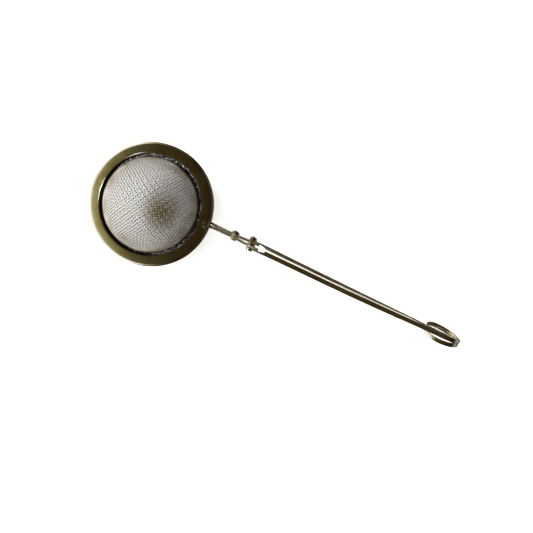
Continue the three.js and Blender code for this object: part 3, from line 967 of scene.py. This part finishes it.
def hingeRivet(name, x, z, tailY, headY, body):
    head, crown, tail, tailHeight = (rivet[key] for key in ("head", "crown", "tail", "tailHeight"))
    profile = [(0, tailY - tailHeight), (tail * 0.5, tailY - tailHeight + 0.02)]
    profile += arc((tail - 0.3, tailY - tailHeight + 0.32), 0.3, -90, 0, 5)
    profile += [(tail, tailY - 0.05), (tail - 0.05, tailY)]
    profile += [(rivet["shank"], tailY), (rivet["shank"], headY)]
    profile += [(head - 0.08, headY)] + arc((head - 0.08, headY + 0.08), 0.08, -90, 0, 3)
    rise = headY + crown * 0.2
    profile += [(head * math.cos(t), rise + crown * 0.8 * math.sin(t))
                for t in np.linspace(0, math.pi / 2, 14)[:-1]]
    profile += [(0, headY + crown)]
    alongY = Matrix(((1, 0, 0, 0), (0, 0, 1, 0), (0, -1, 0, 0), (0, 0, 0, 1)))
    place = toolFrame @ Matrix.Translation((x * mm, 0, z * mm)) @ alongY
    piece = turnedPiece(f"{name}_headed", profile, place, steps=48, closed=False)
    settle(piece, rivetSteel, "headed_rivet_steel", body, name)


arm = {
    "start": (49.0, -0.75, 8.1),  # middle of the channel's web at its front
    "width": 1.9,
    "strip": 0.5,
    "flange": 1.5,
    "flangeFull": 96.0,  # X where the flanges start to fade
    "flangeEnd": 117.0,
    "bow": 0.35,  # how far the upper arm bows out to the side, half way along
    "steps": 45,
    "tab": 0.5,
    "tabRadius": 1.7,
    "shelf": (1.05, 0.62),  # how wide the web is where it runs out over the tab, and at its tip
    "shelfReach": 3.2,
    "shelfDrop": 11.0,  # degrees
}
plateFar = -lever["face"] + lever["plate"]
tabOutside = arm["start"][1] - arm["width"] / 2
hingeRivet("pivot_rivet", pivotX, 0, -plateFar - rivet["gap"], plateFar + rivet["gap"], "upper_half")
hingeRivet("upper_arm_rivet", rearEye.x, rearEye.z, tabOutside - rivet["gap"],
           lever["face"] + rivet["gap"], "handle_top")
hingeRivet("lower_arm_rivet", rearEye.x, -rearEye.z, -lever["face"] - rivet["gap"],
           -tabOutside + rivet["gap"], "handle_bottom")
print("rivets built")


coil = {"radius": 7.45, "turns": 1.5, "pitch": 2.5, "skew": 13.0, "yaw": 7.0, "ease": 0.27}


# Point, way ahead and outward direction on the middle of the coil's strip.
def coilStation(turn):
    angle = 2 * math.pi * turn
    lean = Matrix.Rotation(math.radians(-coil["yaw"]), 3, "Z")
    lean = lean @ Matrix.Rotation(math.radians(coil["skew"]), 3, "X")
    outward = Vector((math.sin(angle), 0, math.cos(angle)))
    point = outward * coil["radius"] + Vector((0, coil["pitch"] * (coil["turns"] / 2 - turn), 0))
    return lean @ point + coilMiddle, lean @ outward


# Stations from the front of the upper arm to the middle of the coil. The arm runs on straight
# over the top of the coil, and the strip eases into the coil's own slant over a quarter turn.
def halfStrip():
    start = Vector(arm["start"])
    top, topOut = coilStation(0)
    straight = (top - start).normalized()
    up = straight.cross(Vector((0, 1, 0))).normalized()
    points = [start.lerp(top, t) for t in np.linspace(0, 1, arm["steps"] + 1).tolist()[:-1]]
    outwards = [up] * len(points)
    slant = coilStation(0.001)[0] - top
    drift = straight.y / straight.x - slant.y / slant.x
    for turn in np.linspace(0, coil["turns"] / 2, 49).tolist():
        point, outward = coilStation(turn)
        ease = smooth(turn / coil["ease"])
        point.y += drift * coil["radius"] * math.sin(min(turn, 0.25) * 2 * math.pi) * (1 - ease)
        turned = Matrix.Rotation(2 * math.pi * turn, 3, "Y") @ up
        points.append(point)
        outwards.append(turned.lerp(outward, ease).normalized())
    return points, outwards


# Closed outline across the strip: [across, up] pairs, for one height of flange.
def channelSection(flange):
    half, top, sheet = arm["width"] / 2, arm["strip"] / 2, arm["strip"]
    low = top - flange
    outer, inner = 0.26, 0.1
    section = [(-half + 0.06, low), (-half, low + 0.06)]
    outerRound = min(outer, flange * 0.6)
    section += arc((-half + outerRound, top - outerRound), outerRound, 180, 90, 5)
    section += arc((half - outerRound, top - outerRound), outerRound, 90, 0, 5)
    section += [(half, low + 0.06), (half - 0.06, low)]
    depth = max(flange - sheet, 0.02)
    innerRound = min(inner, depth * 0.45)
    chamfer = min(0.06, depth * 0.4)
    section += [(half - sheet + chamfer, low), (half - sheet, low + chamfer)]
    section += arc((half - sheet - innerRound, -top - innerRound), innerRound, 0, 90, 2)
    section += arc((-half + sheet + innerRound, -top - innerRound), innerRound, 90, 180, 2)
    section += [(-half + sheet, low + chamfer), (-half + sheet - chamfer, low)]
    return section


def handleStrip():
    points, outwards = halfStrip()
    flip = Matrix.Rotation(math.pi, 3, "X")
    flat = arm["strip"] + 0.02
    fade = arm["flangeEnd"] - arm["flangeFull"]
    fades = [smooth((point.x - arm["flangeFull"]) / fade) for point in points]
    fades[arm["steps"]:] = [1] * (len(points) - arm["steps"])
    flanges = [arm["flange"] + (flat - arm["flange"]) * fade for fade in fades]
    points += [flip @ point for point in points[-2::-1]]
    for i in range(arm["steps"]):
        points[i].y -= arm["bow"] * math.sin(math.pi * i / arm["steps"]) ** 2
    outwards += [flip @ outward for outward in outwards[-2::-1]]
    flanges += flanges[-2::-1]
    corners, uv, travelled = [], [], 0.0
    for i, (point, outward, flange) in enumerate(zip(points, outwards, flanges)):
        ahead = points[min(i + 1, len(points) - 1)] - points[max(i - 1, 0)]
        across = outward.cross(ahead).normalized()
        outward = ahead.cross(across).normalized()
        travelled += (point - points[max(i - 1, 0)]).length
        section = channelSection(flange)
        around = 0.0
        for j, (aside, rise) in enumerate(section):
            corners.append(tuple(point + across * aside + outward * rise))
            around += math.dist(section[j], section[j - 1]) if j else 0.0
            uv.append((travelled, around))
    count = len(section)
    faces = tubeFaces(len(points), count)
    faces.append(tuple(range(count)))
    faces.append(tuple((len(points) - 1) * count + j for j in range(count)))
    return addPiece("handle_strip_rolled", corners, faces, toolFrame, uv=uv)


# The tongue that carries on from the outer flange and goes round the rear rivet.
def armTab(name, place):
    start, radius = arm["start"], arm["tabRadius"]
    eye = (rearEye.x, rearEye.z)
    top = start[2] + arm["strip"] / 2
    low = top - arm["flange"]
    outline = [(start[0] + 2, low + 0.1), (start[0] + 2, top - 0.35), (start[0] + 0.2, top - 0.4)]
    loop = arc(eye, radius, 55, 325, 30)
    outline += bezier([outline[-1], (start[0] - 1.6, top - 0.65), (eye[0] + 2.2, eye[1] + 0.8), loop[0]],
                      9)[:-1]
    outline += loop
    outline += bezier([loop[-1], (eye[0] + 2.4, eye[1] - 0.7),
                       (start[0] - 1.6, low + 0.4), (start[0] + 0.2, low + 0.12)], 9)
    mesh = plateMesh(name, [outline, arc(eye, lever["hole"], 0, 350, 35)], arm["tab"], bevel=0.05)
    mesh.transform(standing(tabOutside + 0.02))
    return dress(name, mesh, place, 35)


# The web narrows on to the tongue and dips with it.
def armShelf(name, place):
    x, _, z = arm["start"]
    side = tabOutside
    wide, narrow = arm["shelf"]
    outline = [(0.6, side + 0.05), (0.6, -side - 1.6), (0.05, -side - 1.6)]
    outline += bezier([outline[-1], (-0.1, side + wide), (-0.9, side + wide)], 7)
    outline += [(-arm["shelfReach"], side + narrow), (-arm["shelfReach"], side + 0.05)]
    mesh = plateMesh(name, [outline], arm["strip"], bevel=0.05)
    mesh.transform(Matrix.Translation((x * mm, 0, z * mm))
                   @ Matrix.Rotation(math.radians(-arm["shelfDrop"]), 4, "Y")
                   @ Matrix.Translation((0, 0, -arm["strip"] / 2 * mm)))
    return dress(name, mesh, place, 35)


strip = handleStrip()
fuse(strip, armTab("upper_tab", toolFrame), armShelf("upper_shelf", toolFrame),
     armTab("lower_tab", toolFrame @ halfTurn), armShelf("lower_shelf", toolFrame @ halfTurn))
strip.data.materials.clear()
strip.data.materials.append(stripSteel)
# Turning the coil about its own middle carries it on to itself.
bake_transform(strip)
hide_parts("upper_handle_arm", "handle_coil", "lower_handle_arm")
print("handle built")


studio = {
    "floor": "#f2f2f2",
    "floorReach": 12.0,  # m from its middle to each side
    "overheadHeight": 3.5,
    "overheadSize": 9.0,
    "overheadPower": 480.0,
    # Azimuth, elevation and distance from the ball, then size and power.
    "key": ((155, 42, 1.2), 0.8, 29.0),
    "left": ((168, 52, 0.9), 0.14, 1.1),
    "top": ((110, 56, 0.9), 0.1, 0.35),
}

# What the steel mirrors, as linear light: pale low down, khaki on the left half way up, and dark
# brown overhead and on the right. Both ramps run from the right of the picture to its left.
room = {
    "middle": [
        (0.1, (0.035, 0.022, 0.006, 1)),
        (0.4, (0.05, 0.034, 0.012, 1)),
        (0.5, (0.08, 0.066, 0.03, 1)),
        (0.675, (0.16, 0.14, 0.06, 1)),
        (0.8, (0.34, 0.3, 0.11, 1)),
        (0.925, (0.62, 0.56, 0.22, 1)),
    ],
    "low": [
        (0.06, (0.8, 0.8, 0.82, 1)),
        (0.15, (0.25, 0.24, 0.22, 1)),
        (0.35, (0.1, 0.08, 0.05, 1)),
        (0.5, (0.4, 0.35, 0.22, 1)),
        (0.6, (1.6, 1.6, 1.57, 1)),
    ],
    "lowFrom": 0.17,  # height where the pale band starts, 1 being straight overhead
    "lowFull": 0.09,
    "lowLean": -0.35,  # the band stands higher on the left than on the right
    "ceiling": (0.07, 0.052, 0.018, 1),
    "ceilingFrom": 0.5,
    "ceilingFull": 0.78,
    "backdrop": (0.93, 0.93, 0.92, 1),
}


def addFloor():
    mesh = bpy.data.meshes.new("studio_floor")
    reach = studio["floorReach"]
    mesh.from_pydata([(-reach, -reach, 0), (reach, -reach, 0), (reach, reach, 0), (-reach, reach, 0)],
                     [], [(0, 1, 2, 3)])
    floor = bpy.data.objects.new("studio_floor", mesh)
    bpy.context.scene.collection.objects.link(floor)
    material = bpy.data.materials.new("matteFloorPaint")
    material.use_nodes = True
    shader = material.node_tree.nodes["Principled BSDF"]
    shader.inputs["Base Color"].default_value = linear(studio["floor"])
    shader.inputs["Roughness"].default_value = 0.9
    shader.inputs["Specular IOR Level"].default_value = 0.0
    mesh.materials.append(material)
    floor.visible_glossy = False


# The steel mirrors this room in place of the floor, which it doesn't see.
def addRoom():
    world = bpy.data.worlds.new("studio_room")
    bpy.context.scene.world = world
    world.use_nodes = True
    tree = world.node_tree
    tree.nodes.clear()
    way = addNode(tree, "ShaderNodeTexCoord").outputs["Generated"]
    height = addNode(tree, "ShaderNodeSeparateXYZ", {"Vector": way}).outputs["Z"]
    side = addNode(tree, "ShaderNodeVectorMath", {0: way, 1: tuple(-pictureRight)},
                   operation="DOT_PRODUCT").outputs["Value"]
    share = addNode(tree, "ShaderNodeMapRange", {"Value": side, "From Min": -1.0}).outputs["Result"]
    middle = addNode(tree, "ShaderNodeValToRGB", {"Fac": share}, stops=room["middle"])
    highShare = addNode(tree, "ShaderNodeMapRange", {
        "Value": height, "From Min": room["ceilingFrom"], "From Max": room["ceilingFull"]})
    high = addNode(tree, "ShaderNodeMix", {
        0: highShare.outputs["Result"], 6: middle.outputs["Color"], 7: room["ceiling"]}, data_type="RGBA")
    low = addNode(tree, "ShaderNodeValToRGB", {"Fac": share}, stops=room["low"])
    band = addNode(tree, "ShaderNodeMath", {0: side, 1: room["lowLean"], 2: height},
                   operation="MULTIPLY_ADD")
    lowShare = addNode(tree, "ShaderNodeMapRange", {
        "Value": band.outputs["Value"], "From Min": room["lowFrom"], "From Max": room["lowFull"]})
    mirrored = addNode(tree, "ShaderNodeMix", {
        0: lowShare.outputs["Result"], 6: high.outputs[2], 7: low.outputs["Color"]}, data_type="RGBA")
    seen = addNode(tree, "ShaderNodeLightPath").outputs["Is Camera Ray"]
    shown = addNode(tree, "ShaderNodeMix", {0: seen, 6: mirrored.outputs[2], 7: room["backdrop"]},
                    data_type="RGBA")
    background = addNode(tree, "ShaderNodeBackground", {"Color": shown.outputs[2], "Strength": 1.0})
    addNode(tree, "ShaderNodeOutputWorld", {"Surface": background.outputs["Background"]})


def addSoftbox(name, place, size, power, mirrored=True):
    data = bpy.data.lights.new(name, "AREA")
    data.shape = "DISK"
    data.size = size
    data.energy = power
    box = bpy.data.objects.new(name, data)
    box.location = place
    box.rotation_euler = (Vector(place) - ballMiddle).to_track_quat("Z", "Y").to_euler()
    box.visible_glossy = mirrored
    box.visible_camera = False
    bpy.context.scene.collection.objects.link(box)


# A place round the ball: azimuth 0 is the right of the picture, 90 its top.
def sky(azimuth, elevation, distance):
    turn = math.radians(azimuth + camera["turn"])
    lift = math.radians(elevation)
    away = Vector((math.cos(turn) * math.cos(lift), math.sin(turn) * math.cos(lift), math.sin(lift)))
    return tuple(ballMiddle + away * distance)


addFloor()
addRoom()
addSoftbox("overhead_softbox", (0, 0, studio["overheadHeight"]), studio["overheadSize"],
           studio["overheadPower"], mirrored=False)
for name in ("key", "left", "top"):
    where, size, power = studio[name]
    addSoftbox(f"{name}_softbox", sky(*where), size, power, mirrored=name != "key")
bpy.context.scene.view_settings.view_transform = "Standard"
print("studio lit")
